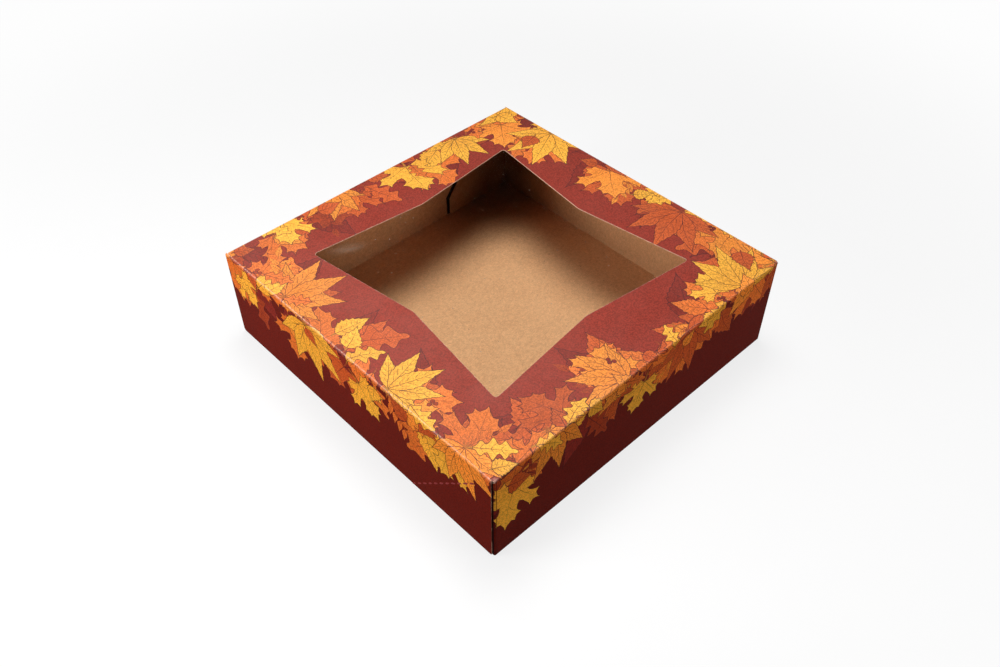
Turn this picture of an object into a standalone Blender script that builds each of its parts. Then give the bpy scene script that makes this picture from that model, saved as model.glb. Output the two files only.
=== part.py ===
"""Window bakery box: a one-piece paperboard tray with an attached full-depth cover.

The blank is printed outside and bare kraft inside. Every panel between two creases is an object of its
own, cut flat from an outline, rolled round its fold and given the board's thickness. Metres, +Z up. The
origin is the middle of the box's footprint on the table, the front is at -Y and the cover hinges on the
back wall's top edge.
"""

import math

import bmesh
import bpy
from mathutils import Matrix, Vector

# Overall size, with the cover closed
BOX_WIDTH = 0.2286
BOX_DEPTH = 0.2286
BOX_HEIGHT = 0.0635

# Board and how it folds
BOARD = 0.0005
FOLD_RADIUS = 0.0010
FOLD_STEPS = 5
CREASE_GAP = 0.0003
GLUE_GAP = 0.0003

# How the cover sits on the tray
LID_SLACK = 0.0005
LID_SEAT = 0.0003
HINGE_SETBACK = 0.0003
SKIRT_LIFT = 0.0008
SEAM_SETBACK = 0.0006

# Window and film
WINDOW_SIDE_BORDER = 0.0372
WINDOW_FRONT_BORDER = 0.0373
WINDOW_BACK_BORDER = 0.0363
WINDOW_SIDE_PINCH = 0.0108
WINDOW_FRONT_PINCH = 0.0093
WINDOW_BACK_PINCH = 0.0078
WINDOW_CORNER_RADIUS = 0.0012
WINDOW_WAIST_RADIUS = 0.0080
FILM_THICKNESS = 0.00015
FILM_MARGIN = 0.0100
FILM_CORNER_RADIUS = 0.0020

# Glue flaps of the tray
TRAY_FLAP_LENGTH = 0.0560
TRAY_FLAP_SHOULDER = 0.0150
TRAY_FLAP_TOP_LENGTH = 0.0200

# Glue flaps of the cover, which stay clear of the 45 degree crease
LID_FLAP_LENGTH = 0.0500
LID_FLAP_MARGIN = 0.0040

# Free corners of walls, skirts and flaps
CORNER_RADIUS = 0.0020
GUSSET_TIP = 0.0006

# Board that a fold takes up, measured on the printed side
FOLD_LENGTH = FOLD_RADIUS * math.pi / 2
# Width of a crease's gap measured along an edge that it meets at 45 degrees
SLANTED_GAP = CREASE_GAP * math.sqrt(2)

# Outer faces of the tray
TRAY_SIDE = BOX_WIDTH / 2 - BOARD - GLUE_GAP - BOARD - LID_SLACK
TRAY_FRONT = BOX_DEPTH / 2 - BOARD - LID_SLACK
TRAY_BACK = BOX_DEPTH / 2 - HINGE_SETBACK
TRAY_DEPTH = TRAY_FRONT + TRAY_BACK
TRAY_MIDDLE_Y = (TRAY_BACK - TRAY_FRONT) / 2

# Heights of the cover's underside and of the tray's rim
LID_UNDERSIDE = BOX_HEIGHT - BOARD
RIM_HEIGHT = LID_UNDERSIDE - LID_SEAT

# Lengths of board beyond a fold's start
WALL_LENGTH = RIM_HEIGHT - FOLD_RADIUS + FOLD_LENGTH
SKIRT_LENGTH = BOX_HEIGHT - SKIRT_LIFT - FOLD_RADIUS + FOLD_LENGTH

# Where the tray's flaps start to turn, measured from the middle of a side wall
TRAY_FLAP_FOLD = TRAY_DEPTH / 2 - BOARD - GLUE_GAP - FOLD_RADIUS

# Where the cover's flaps start to turn, measured from the middle of the front skirt
LID_FLAP_FOLD = BOX_WIDTH / 2 - BOARD - GLUE_GAP - FOLD_RADIUS

# Colours of the print, of the bare board and of the film
PRINT_RED = (0.30, 0.055, 0.045)
KRAFT = (0.53, 0.33, 0.16)
FILM_GREY = (0.9, 0.9, 0.9)

UP = Vector((0.0, 0.0, 1.0))
DOWN = Vector((0.0, 0.0, -1.0))
FRONT = Vector((0.0, -1.0, 0.0))
BACK = Vector((0.0, 1.0, 0.0))
SIDES = {"left": -1, "right": 1}
ENDS = {"front": -1, "back": 1}


def clear_scene():
    for item in list(bpy.data.objects):
        bpy.data.objects.remove(item, do_unlink=True)


def make_collection(name):
    collection = bpy.data.collections.new(name)
    bpy.context.scene.collection.children.link(collection)
    return collection


def make_material(name, colour, roughness, alpha=1.0):
    material = bpy.data.materials.new(name)
    material.use_nodes = True
    shader = material.node_tree.nodes["Principled BSDF"]
    shader.inputs["Base Color"].default_value = (*colour, 1.0)
    shader.inputs["Roughness"].default_value = roughness
    shader.inputs["Metallic"].default_value = 0.0
    shader.inputs["Alpha"].default_value = alpha
    return material


def make_frame(collection, name, location, parent=None):
    frame = bpy.data.objects.new(name, None)
    frame.empty_display_size = 0.02
    frame.location = location
    frame.parent = parent
    collection.objects.link(frame)
    return frame


def rounded(corners, steps=5):
    """The outline through corners of (x, y, radius), with an arc of that radius in place of each corner."""
    outline = []
    count = len(corners)
    for index, (x, y, radius) in enumerate(corners):
        corner = Vector((x, y))
        before = Vector(corners[index - 1][:2]) - corner
        after = Vector(corners[(index + 1) % count][:2]) - corner
        half_angle = before.angle(after) / 2
        reach = radius / math.tan(half_angle) if half_angle < math.pi / 2 - 1e-6 else 0.0
        reach = min(reach, 0.45 * before.length, 0.45 * after.length)
        if reach <= 0.0:
            outline.append(corner)
            continue
        radius = reach * math.tan(half_angle)
        inward = (before.normalized() + after.normalized()).normalized()
        centre = corner + inward * (radius / math.sin(half_angle))
        start = corner + before.normalized() * reach - centre
        end = corner + after.normalized() * reach - centre
        sweep = start.angle_signed(end)
        for step in range(steps + 1):
            turn = Matrix.Rotation(-sweep * step / steps, 2)
            outline.append(centre + turn @ start)
    return outline


def flat_sheet(name, outlines):
    """A flat mesh that fills the first outline, less the others."""
    curve = bpy.data.curves.new(name, "CURVE")
    curve.dimensions = "2D"
    curve.fill_mode = "BOTH"
    for outline in outlines:
        spline = curve.splines.new("POLY")
        spline.points.add(len(outline) - 1)
        for point, corner in zip(spline.points, outline):
            point.co = (corner[0], corner[1], 0.0, 1.0)
        spline.use_cyclic_u = True
    guide = bpy.data.objects.new(name, curve)
    bpy.context.scene.collection.objects.link(guide)
    bpy.context.view_layer.update()
    mesh = bpy.data.meshes.new_from_object(guide.evaluated_get(bpy.context.evaluated_depsgraph_get()))
    bpy.data.objects.remove(guide, do_unlink=True)
    bpy.data.curves.remove(curve)
    return mesh


def rolled(length):
    """How far out and down board lies, this length beyond the start of the fold that it rolls round."""
    if length <= 0.0:
        return length, 0.0
    if length < FOLD_LENGTH:
        angle = length / FOLD_RADIUS
        return FOLD_RADIUS * math.sin(angle), FOLD_RADIUS * (1.0 - math.cos(angle))
    return FOLD_RADIUS, FOLD_RADIUS + length - FOLD_LENGTH


def fold_mesh(mesh):
    """Rolls a flat sheet down round the fold that starts along its X axis."""
    shape = bmesh.new()
    shape.from_mesh(mesh)
    bmesh.ops.remove_doubles(shape, verts=shape.verts, dist=1e-6)
    for step in range(1, FOLD_STEPS + 1):
        everything = shape.verts[:] + shape.edges[:] + shape.faces[:]
        line = Vector((0.0, FOLD_LENGTH * step / FOLD_STEPS, 0.0))
        bmesh.ops.bisect_plane(shape, geom=everything, plane_co=line, plane_no=(0.0, 1.0, 0.0), dist=1e-7)
    for vertex in shape.verts:
        out, down = rolled(vertex.co.y)
        vertex.co.y = out
        vertex.co.z = -down
    bmesh.ops.recalc_face_normals(shape, faces=shape.faces)
    shape.to_mesh(mesh)
    shape.free()


def face_outward(mesh):
    """Turns the sheet so that its faces point to the printed side, which is up before the fold."""
    shape = bmesh.new()
    shape.from_mesh(mesh)
    bmesh.ops.remove_doubles(shape, verts=shape.verts, dist=1e-6)
    shape.normal_update()
    largest = max(shape.faces, key=lambda face: face.calc_area())
    # A straight panel faces +Z, and one past its fold faces +Y
    if largest.normal.z + largest.normal.y < 0.0:
        bmesh.ops.reverse_faces(shape, faces=shape.faces)
    shape.to_mesh(mesh)
    shape.free()


def board_panel(collection, name, outlines, parent, place, finish, folded=False, thickness=BOARD):
    """One panel of the blank: an outline in its fold's frame, X along the fold and Y away from its parent."""
    mesh = flat_sheet(name, outlines)
    if folded:
        fold_mesh(mesh)
    face_outward(mesh)
    for material in finish:
        mesh.materials.append(material)
    panel = bpy.data.objects.new(name, mesh)
    collection.objects.link(panel)
    panel.parent = parent
    panel.location, panel.rotation_euler = place
    wall = panel.modifiers.new("board", "SOLIDIFY")
    wall.thickness = thickness
    wall.offset = -1.0
    wall.use_even_offset = True
    wall.material_offset = len(finish) - 1
    wall.material_offset_rim = len(finish) - 1
    return panel


def facing(out, ahead):
    """The rotation of a fold's frame: Z out of the parent panel's printed side, Y ahead across the fold."""
    return Matrix((ahead.cross(out), ahead, out)).transposed().to_euler()


def sideways(side_x):
    return Vector((side_x, 0.0, 0.0))


def rectangle(half_x, half_y, radius=0.0):
    return rounded(
        [
            (-half_x, -half_y, radius),
            (half_x, -half_y, radius),
            (half_x, half_y, radius),
            (-half_x, half_y, radius),
        ]
    )


def mirrored(outline):
    return [(-x, y, radius) for x, y, radius in reversed(outline)]


def wall_outline(half_length, length):
    """A plain wall or skirt: narrower in its fold, with rounded free corners."""
    relief = half_length - FOLD_RADIUS
    shoulder = FOLD_LENGTH + FOLD_RADIUS
    return [
        (-relief, 0.0, 0.0),
        (relief, 0.0, 0.0),
        (relief, FOLD_LENGTH, 0.0),
        (half_length, shoulder, 0.0),
        (half_length, length, CORNER_RADIUS),
        (-half_length, length, CORNER_RADIUS),
        (-half_length, shoulder, 0.0),
        (-relief, FOLD_LENGTH, 0.0),
    ]


def gusset_outline(end, length, slant_to):
    """The triangle between a 45 degree crease and the end of its wall, at the wall's +X end."""
    tip = FOLD_LENGTH + GUSSET_TIP
    return [
        (end - GUSSET_TIP, tip, 0.0),
        (end, tip, 0.0),
        (end, length, 0.0),
        (slant_to, length, 0.0),
    ]


def make_tray(collection, tray, finish):
    base_x = TRAY_SIDE - FOLD_RADIUS - CREASE_GAP
    base_y = TRAY_DEPTH / 2 - FOLD_RADIUS - CREASE_GAP
    base = rectangle(base_x, base_y)
    base_place = ((0.0, TRAY_MIDDLE_Y, 0.0), facing(DOWN, FRONT))
    board_panel(collection, "base_panel", [base], tray, base_place, finish)

    plain = rounded(wall_outline(TRAY_SIDE, WALL_LENGTH))
    for end_name, end_y in ENDS.items():
        fold = (0.0, TRAY_MIDDLE_Y + end_y * (TRAY_DEPTH / 2 - FOLD_RADIUS), 0.0)
        place = (fold, facing(DOWN, BACK * end_y))
        board_panel(collection, f"{end_name}_wall", [plain], tray, place, finish, folded=True)

    # A side wall ends at the two 45 degree creases that climb from the tray's bottom corners
    gusset_end = TRAY_FLAP_FOLD - CREASE_GAP
    slant_top = gusset_end - (WALL_LENGTH - FOLD_LENGTH)
    foot = gusset_end - SLANTED_GAP
    side = [
        (-foot, 0.0, 0.0),
        (foot, 0.0, 0.0),
        (foot, FOLD_LENGTH, 0.0),
        (slant_top - SLANTED_GAP, WALL_LENGTH, 0.0),
        (-slant_top + SLANTED_GAP, WALL_LENGTH, 0.0),
        (-foot, FOLD_LENGTH, 0.0),
    ]
    gusset = gusset_outline(gusset_end, WALL_LENGTH, slant_top)

    # A tray flap's outline: X is the height above the table, Y the length beyond its fold
    flap_low = FOLD_RADIUS + CREASE_GAP
    flap_high = RIM_HEIGHT - LID_SEAT
    fold_end = FOLD_LENGTH - FOLD_RADIUS
    flap = [
        (flap_low, 0.0, 0.0),
        (flap_high, 0.0, 0.0),
        (flap_high, TRAY_FLAP_TOP_LENGTH + fold_end, CORNER_RADIUS),
        (TRAY_FLAP_SHOULDER, TRAY_FLAP_LENGTH + fold_end, CORNER_RADIUS),
        (flap_low, TRAY_FLAP_LENGTH + fold_end, CORNER_RADIUS),
    ]
    for side_name, side_x in SIDES.items():
        wall_fold = (side_x * (TRAY_SIDE - FOLD_RADIUS), TRAY_MIDDLE_Y, 0.0)
        wall_place = (wall_fold, facing(DOWN, sideways(side_x)))
        board_panel(collection, f"{side_name}_wall", [rounded(side)], tray, wall_place, finish, folded=True)
        for end_name, end_y in ENDS.items():
            # The wall's own X axis runs to the back on the right side and to the front on the left
            outline = gusset if end_y * side_x > 0 else mirrored(gusset)
            name = f"tray_gusset_{end_name}_{side_name}"
            board_panel(collection, name, [rounded(outline)], tray, wall_place, finish, folded=True)

            # The flap's own X axis points up on the front right and back left corners, and down on the others
            outline = flap if end_y * side_x < 0 else mirrored(flap)
            flap_fold = (side_x * TRAY_SIDE, TRAY_MIDDLE_Y + end_y * TRAY_FLAP_FOLD, 0.0)
            flap_place = (flap_fold, facing(sideways(side_x), BACK * end_y))
            name = f"tray_flap_{end_name}_{side_name}"
            board_panel(collection, name, [rounded(outline)], tray, flap_place, finish, folded=True)


def window_outline(corner_x, front_y, back_y):
    """The window: four tight corners, with each side bent inward at its middle."""
    waist_x = corner_x - WINDOW_SIDE_PINCH
    return rounded(
        [
            (-corner_x, front_y, WINDOW_CORNER_RADIUS),
            (0.0, front_y + WINDOW_FRONT_PINCH, WINDOW_WAIST_RADIUS),
            (corner_x, front_y, WINDOW_CORNER_RADIUS),
            (waist_x, 0.0, WINDOW_WAIST_RADIUS),
            (corner_x, back_y, WINDOW_CORNER_RADIUS),
            (0.0, back_y - WINDOW_BACK_PINCH, WINDOW_WAIST_RADIUS),
            (-corner_x, back_y, WINDOW_CORNER_RADIUS),
            (-waist_x, 0.0, WINDOW_WAIST_RADIUS),
        ]
    )


def make_lid_top(collection, hinge, finish, film):
    """The top panel with its window, and the film glued under it."""
    middle = -BOX_DEPTH / 2
    edge_x = BOX_WIDTH / 2 - FOLD_RADIUS - CREASE_GAP
    front_edge = -BOX_DEPTH / 2 + FOLD_RADIUS + CREASE_GAP
    back_edge = BOX_DEPTH / 2
    panel = rounded(
        [
            (-edge_x, front_edge, 0.0),
            (edge_x, front_edge, 0.0),
            (edge_x, back_edge, 0.0),
            (-edge_x, back_edge, 0.0),
        ]
    )
    corner_x = BOX_WIDTH / 2 - WINDOW_SIDE_BORDER
    front_y = -BOX_DEPTH / 2 + WINDOW_FRONT_BORDER
    back_y = BOX_DEPTH / 2 - WINDOW_BACK_BORDER
    window = window_outline(corner_x, front_y, back_y)
    level = ((0.0, middle, BOARD), facing(UP, BACK))
    board_panel(collection, "lid_panel", [panel, window], hinge, level, finish)

    film_sheet = rectangle(corner_x + FILM_MARGIN, back_y + FILM_MARGIN, FILM_CORNER_RADIUS)
    under = ((0.0, middle, -GLUE_GAP), facing(UP, BACK))
    board_panel(collection, "window_film", [film_sheet], hinge, under, (film,), thickness=FILM_THICKNESS)


def make_lid_skirts(collection, hinge, finish):
    """The front skirt with its two glue flaps, and the side skirts with the gussets glued to them."""
    middle = -BOX_DEPTH / 2
    half_x = BOX_WIDTH / 2
    half_y = BOX_DEPTH / 2

    # The front skirt turns into a flap at each end, so it stops where the flaps start to turn
    skirt_end = LID_FLAP_FOLD - CREASE_GAP
    front = [
        (-skirt_end, 0.0, 0.0),
        (skirt_end, 0.0, 0.0),
        (skirt_end, SKIRT_LENGTH, 0.0),
        (-skirt_end, SKIRT_LENGTH, 0.0),
    ]
    front_place = ((0.0, middle - half_y + FOLD_RADIUS, BOARD), facing(UP, FRONT))
    board_panel(collection, "lid_front_skirt", [rounded(front)], hinge, front_place, finish, folded=True)

    # A side skirt ends at the hinge, and at the 45 degree crease that drops from the top front corner
    front_end = half_y - SEAM_SETBACK
    hinge_end = half_y - HINGE_SETBACK
    fold_end = half_y - FOLD_RADIUS - CREASE_GAP
    slant_low = front_end - (SKIRT_LENGTH - FOLD_LENGTH)
    slant_high = FOLD_LENGTH + front_end - fold_end - SLANTED_GAP
    skirt = [
        (-fold_end, 0.0, 0.0),
        (hinge_end, 0.0, 0.0),
        (hinge_end, SKIRT_LENGTH, CORNER_RADIUS),
        (-slant_low + SLANTED_GAP, SKIRT_LENGTH, 0.0),
        (-fold_end, slant_high, 0.0),
    ]
    gusset = gusset_outline(front_end, SKIRT_LENGTH, slant_low)

    # A lid flap's outline: X is the depth below the top, Y the length beyond its fold
    flap_low = BOX_HEIGHT - SKIRT_LIFT
    flap_top = FOLD_RADIUS + CREASE_GAP
    fold_extra = FOLD_LENGTH - FOLD_RADIUS
    narrow = FOLD_LENGTH + FOLD_RADIUS
    flap = [
        (flap_top, 0.0, 0.0),
        (flap_low, 0.0, 0.0),
        (flap_low, LID_FLAP_LENGTH + fold_extra, CORNER_RADIUS),
        (LID_FLAP_LENGTH + LID_FLAP_MARGIN, LID_FLAP_LENGTH + fold_extra, CORNER_RADIUS),
        (narrow - fold_extra + LID_FLAP_MARGIN, narrow, 0.0),
        (flap_top, narrow, 0.0),
    ]
    for side_name, side_x in SIDES.items():
        fold = (side_x * (half_x - FOLD_RADIUS), middle, BOARD)
        place = (fold, facing(UP, sideways(side_x)))
        # The skirt's own X axis runs to the back on the left side and to the front on the right
        side_skirt, side_gusset = (skirt, mirrored(gusset)) if side_x < 0 else (mirrored(skirt), gusset)
        name = f"lid_{side_name}_skirt"
        board_panel(collection, name, [rounded(side_skirt)], hinge, place, finish, folded=True)
        name = f"lid_gusset_{side_name}"
        board_panel(collection, name, [rounded(side_gusset)], hinge, place, finish, folded=True)

        # The flap's own X axis points up on the left side and down on the right
        outline = mirrored(flap) if side_x < 0 else flap
        flap_fold = (side_x * LID_FLAP_FOLD, middle - half_y, BOARD)
        flap_place = (flap_fold, facing(FRONT, sideways(side_x)))
        name = f"lid_flap_{side_name}"
        board_panel(collection, name, [rounded(outline)], hinge, flap_place, finish, folded=True)


def build():
    clear_scene()
    collection = make_collection("window_bakery_box")
    printed = make_material("printed_board", PRINT_RED, 0.55)
    kraft = make_material("kraft_board", KRAFT, 0.8)
    film = make_material("clear_film", FILM_GREY, 0.08, alpha=0.25)
    tray = make_frame(collection, "tray", (0.0, 0.0, 0.0))
    hinge = make_frame(collection, "lid_hinge", (0.0, BOX_DEPTH / 2, LID_UNDERSIDE), tray)
    board = (printed, kraft)
    make_tray(collection, tray, board)
    make_lid_top(collection, hinge, board, film)
    make_lid_skirts(collection, hinge, board)


build()
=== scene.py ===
"""Window bakery box: the board, its print, the film and the studio, built round the packed model.

Metres, +Z up, front at -Y, in the packed model's own frame. The board is drawn flat in millimetres, as a die
cutter sees it: the cover's blank lies with its printed side up, and the tray's with its printed side down.
"""

import math
import random

from collections import namedtuple

import bpy
from mathutils import Matrix, Vector
from mathutils.geometry import delaunay_2d_cdt


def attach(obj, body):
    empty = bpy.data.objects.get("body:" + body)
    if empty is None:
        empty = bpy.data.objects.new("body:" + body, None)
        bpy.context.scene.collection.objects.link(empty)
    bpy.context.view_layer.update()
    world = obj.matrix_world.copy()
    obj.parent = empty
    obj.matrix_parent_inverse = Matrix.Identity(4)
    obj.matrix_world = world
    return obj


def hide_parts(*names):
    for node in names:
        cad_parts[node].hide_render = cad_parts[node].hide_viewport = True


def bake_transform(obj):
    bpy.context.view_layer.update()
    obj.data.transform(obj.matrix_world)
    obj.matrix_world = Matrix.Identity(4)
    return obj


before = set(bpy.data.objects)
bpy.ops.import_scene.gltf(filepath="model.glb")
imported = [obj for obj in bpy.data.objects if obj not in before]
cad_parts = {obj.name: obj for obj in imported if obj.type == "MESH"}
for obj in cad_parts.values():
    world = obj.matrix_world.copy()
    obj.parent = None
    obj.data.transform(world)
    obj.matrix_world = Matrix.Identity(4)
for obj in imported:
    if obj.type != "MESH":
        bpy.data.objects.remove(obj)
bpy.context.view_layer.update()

MM = 0.001

# Board and folds, in millimetres
BOARD = 0.5
FOLD_RADIUS = 1.0
FOLD_LENGTH = FOLD_RADIUS * math.pi / 2
FOLD_STEPS = 6
CORNER_RADIUS = 2.0
FLAP_GAP = 0.3

# Cover, closed
TOP_HEIGHT = 63.5
COVER_SIDE = 114.25
COVER_FRONT = -114.25
COVER_SIDE_FOLD = COVER_SIDE - FOLD_RADIUS
COVER_FRONT_FOLD = COVER_FRONT + FOLD_RADIUS
SKIRT_BOTTOM = 0.8
SKIRT_LENGTH = TOP_HEIGHT - SKIRT_BOTTOM - FOLD_RADIUS + FOLD_LENGTH
SKIRT_FRONT_END = -112.8
FRONT_FOLD_END = 113.2
SKIRT_BACK_END = 114.0
COVER_FLAP_FOLD = 112.5
COVER_FLAP_LENGTH = 50.0
COVER_FLAP_MARGIN = 4.0
COVER_FLAP_SHOULDER = 5.4

# The open corner of the cover: where painted shade lies on a line before the fold and on the hidden flap's
# roll beyond it, and where the top's worn corner with its painted highlight lies
SEAM_SHADE_LINE = (-0.80, -0.40)
SEAM_SHADE_FROM = COVER_FLAP_FOLD + 0.70 * FOLD_LENGTH
SEAM_SHADE_TOP = COVER_FRONT_FOLD - FOLD_LENGTH - 0.2
WORN_LIT_CORNER = COVER_SIDE - 0.85

# The slanted, perforated crease of the side skirts and its ridges
RIDGE_SIZES = {"Pitch": 6.2, "Length": 4.9, "Width": 1.3, "Relief": 0.12}
RIDGE_SINK = 0.015
RIDGE_SEED = 5
SLANT_HEAD = (COVER_FRONT + 15.0, TOP_HEIGHT - 14.75)
SLANT_FOOT = (-51.5, SKIRT_BOTTOM + 1.2)

# Window and film
WINDOW_SIDE, WINDOW_FRONT, WINDOW_BACK = 77.1, -77.0, 78.0
WAIST_SIDE, WAIST_FRONT, WAIST_BACK = 66.3, -67.7, 70.2
WINDOW_CORNER_RADIUS = 1.9
WINDOW_WAIST_RADIUS = 8.0
WINDOW_LIP = 0.35
FILM_REACH_X = 87.1
FILM_REACH_Y = 88.0
FILM_THICKNESS = 0.15
FILM_GLUED = 6.0
FILM_EASE = 26.0
FILM_SAG = 0.28
FILM_WAVE = 0.035
FILM_CELLS = 56
FILM_SEED = 7

# Tray
TRAY_SIDE = 112.5
TRAY_FRONT = -113.3
TRAY_BACK = 114.0
TRAY_SIDE_FOLD = TRAY_SIDE - FOLD_RADIUS
TRAY_MIDDLE = (TRAY_FRONT + TRAY_BACK) / 2
RIM_HEIGHT = 62.7
WALL_LENGTH = RIM_HEIGHT - FOLD_RADIUS + FOLD_LENGTH
TRAY_FLAP_FOLD = (TRAY_BACK - TRAY_FRONT) / 2 - BOARD - FLAP_GAP - FOLD_RADIUS
TRAY_FLAP_LENGTH = 56.0
TRAY_FLAP_SHOULDER = 15.0
TRAY_FLAP_TOP_LENGTH = 20.0
FOLD_TAB = 0.75

# Crease over the back wall, which bends when the cover opens
CREASE_START = 113.0
CREASE_END = CREASE_START + FOLD_LENGTH
CREASE_FOOT = 62.5

# Where a point of the cover's drawing comes on the back wall of the tray's
BACK_WALL_TURN = TRAY_BACK - FOLD_RADIUS + FOLD_LENGTH - FOLD_RADIUS + CREASE_FOOT + CREASE_END

# Inks, numbered in this order by the print's drawing
INKS = {
    "ground": (0.246, 0.0250, 0.0148),
    "ghost": (0.205, 0.020, 0.013),
    "rust": (0.320, 0.044, 0.014),
    "ember": (0.500, 0.090, 0.021),
    "orange": (0.700, 0.166, 0.029),
    "amber": (0.800, 0.262, 0.036),
    "yellow": (0.870, 0.425, 0.047),
}
INK_NAMES = list(INKS)
LINE_INK = (0.036, 0.008, 0.012)
LEAF_SEED = 41

# Below this the arithmetic of a length in millimetres is not exact
TINY = 1e-6

SIDES = (("left", -1), ("right", 1))
ENDS = (("front", -1), ("back", 1))


# Drawing


def pairs(loop):
    """Each point of a loop with the one after it."""
    return zip(loop, loop[1:] + loop[:1])


def rounded(corners, steps=5):
    """The outline through corners of (x, y, radius), with an arc of that radius in place of each corner."""
    outline = []
    for index, (x, y, radius) in enumerate(corners):
        if radius <= 0.0:
            outline.append((x, y))
            continue
        corner = Vector((x, y))
        before = Vector(corners[index - 1][:2]) - corner
        after = Vector(corners[(index + 1) % len(corners)][:2]) - corner
        half_angle = before.angle(after) / 2
        reach = min(radius / math.tan(half_angle), 0.45 * before.length, 0.45 * after.length)
        radius = reach * math.tan(half_angle)
        inward = (before.normalized() + after.normalized()).normalized()
        centre = corner + inward * (radius / math.sin(half_angle))
        start = corner + before.normalized() * reach - centre
        end = corner + after.normalized() * reach - centre
        sweep = start.angle_signed(end)
        for step in range(steps + 1):
            outline.append(tuple(centre + Matrix.Rotation(-sweep * step / steps, 2) @ start))
    return outline


def signed_area(outline):
    return sum(x0 * y1 - x1 * y0 for (x0, y0), (x1, y1) in pairs(outline)) / 2


def bowed(outline, bow):
    """A counter-clockwise outline, with the middle of each edge moved inward by a share of its length."""
    bent = []
    for (x0, y0), (x1, y1) in pairs(outline):
        bent.append((x0, y0))
        bent.append((x0 + (x1 - x0) * 0.5 - (y1 - y0) * bow, y0 + (y1 - y0) * 0.5 + (x1 - x0) * bow))
    return bent


def crosses(a, b, c, d):
    """True if the segments a-b and c-d cross."""

    def side(p, q, r):
        return (q[0] - p[0]) * (r[1] - p[1]) - (q[1] - p[1]) * (r[0] - p[0])

    return side(a, b, c) * side(a, b, d) < 0 and side(c, d, a) * side(c, d, b) < 0


def is_simple(outline):
    edges = list(pairs(outline))
    return not any(crosses(*edge, *other) for i, edge in enumerate(edges) for other in edges[i + 2 :])


def inset(outline, width):
    """A counter-clockwise outline moved inward by width, or outward below 0, and by less where it would
    cross itself."""
    while abs(width) > 0.04:
        moved = []
        for i, point in enumerate(outline):
            corner = Vector(point)
            before = (corner - Vector(outline[i - 1])).normalized()
            after = (Vector(outline[(i + 1) % len(outline)]) - corner).normalized()
            inward = Vector((-before.y - after.y, before.x + after.x))
            if inward.length < TINY:
                inward = Vector((-after.y, after.x))
            inward.normalize()
            slant = max(0.22, abs(inward.dot(Vector((-after.y, after.x)))))
            moved.append(tuple(corner + inward * (width / slant)))
        if is_simple(moved) and signed_area(moved) > 0:
            return moved
        width *= 0.6
    return None


def stroke(points, width):
    """A tapered pen stroke along points, as an outline."""
    left, right = [], []
    last = len(points) - 1
    for i, point in enumerate(points):
        here = Vector(point)
        ahead = (Vector(points[min(i + 1, last)]) - Vector(points[max(i - 1, 0)])).normalized()
        across = Vector((-ahead.y, ahead.x)) * (width / 2 * (1.0 - 0.75 * i / last))
        left.append(tuple(here + across))
        right.append(tuple(here - across))
    return right + left[::-1]


# Leaves, each drawn one long from its foot at the origin to its tip at (0, 1): outline, veins and stalk


def whole_leaf(half):
    return half + [(0.0, 1.0)] + [(-x, y) for x, y in reversed(half)]


def maple():
    half = [
        *((0.015, 0.20), (0.15, 0.14), (0.26, 0.04), (0.30, 0.13), (0.45, 0.11), (0.38, 0.21), (0.45, 0.28)),
        *((0.31, 0.31), (0.43, 0.37), (0.59, 0.36), (0.54, 0.46), (0.67, 0.59), (0.50, 0.58), (0.46, 0.69)),
        *((0.34, 0.57), (0.20, 0.50), (0.19, 0.63), (0.31, 0.71), (0.21, 0.76), (0.20, 0.87), (0.11, 0.84)),
    ]
    joint = (0.0, 0.21)
    veins = [[joint, (0.01, 0.50), (0.0, 0.86)]]
    for side in (-1, 1):
        veins.append([joint, (side * 0.24, 0.36), (side * 0.52, 0.53)])
        veins.append([joint, (side * 0.16, 0.20), (side * 0.34, 0.16)])
        veins.append([(side * 0.02, 0.56), (side * 0.10, 0.63), (side * 0.20, 0.68)])
        veins.append([(side * 0.26, 0.38), (side * 0.37, 0.41), (side * 0.46, 0.40)])
    return bowed(whole_leaf(half), 0.09), veins, [(0.0, 0.22), (0.01, 0.10), (0.05, -0.08)]


def oak():
    """Rounded lobes on both sides of a long blade."""
    half = []
    for step in range(29):
        t = step / 29
        body = math.sin(math.pi * min(1.0, 0.04 + t * 0.97)) ** 0.8
        lobe = 0.70 + 0.30 * math.cos(2 * math.pi * (3.6 * t + 0.42))
        half.append((0.010 + 0.31 * body * lobe, t))
    veins = [[(0.0, 0.02), (0.012, 0.45), (0.0, 0.90)]]
    for side in (-1, 1):
        for foot in (0.17, 0.40, 0.62):
            veins.append([(0.0, foot), (side * 0.10, foot + 0.06), (side * 0.17, foot + 0.14)])
    return whole_leaf(half), veins, [(0.0, 0.02), (0.0, -0.06), (0.02, -0.13)]


def toothed(width, teeth, depth, shoulder, point):
    """An oval blade with saw teeth: shoulder places its widest part and point draws out its tip."""

    def half_width(t):
        swell = math.sin(math.pi * min(1.0, t / 0.90) ** shoulder)
        tail = 0.020 * max(0.0, 1.0 - abs(t - 0.88) / 0.12)
        return width * swell * (1.0 - point * t**3) + tail

    half = [(0.012, 0.0)]
    for tooth in range(teeth):
        t0 = (tooth + 0.15) / teeth
        t1 = (tooth + 0.90) / teeth
        half.append((0.008 + half_width(t0) * (1.0 - depth), t0))
        if t1 < 0.985:
            half.append((0.008 + half_width(t1) * (1.0 + depth), t1 + 0.01))
    veins = [[(0.0, 0.0), (0.015, 0.45), (0.0, 0.88)]]
    rows = max(3, teeth // 2)
    for row in range(rows):
        foot = 0.16 + 0.56 * row / rows
        reach = half_width(foot + 0.06) * 0.72
        for side in (-1, 1):
            start = (side * reach * 0.22, foot + 0.03)
            veins.append([start, (side * reach * 0.65, foot + 0.09), (side * reach, foot + 0.17)])
    return whole_leaf(half), veins, [(0.0, 0.02), (-0.01, -0.06), (0.01, -0.12)]


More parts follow.
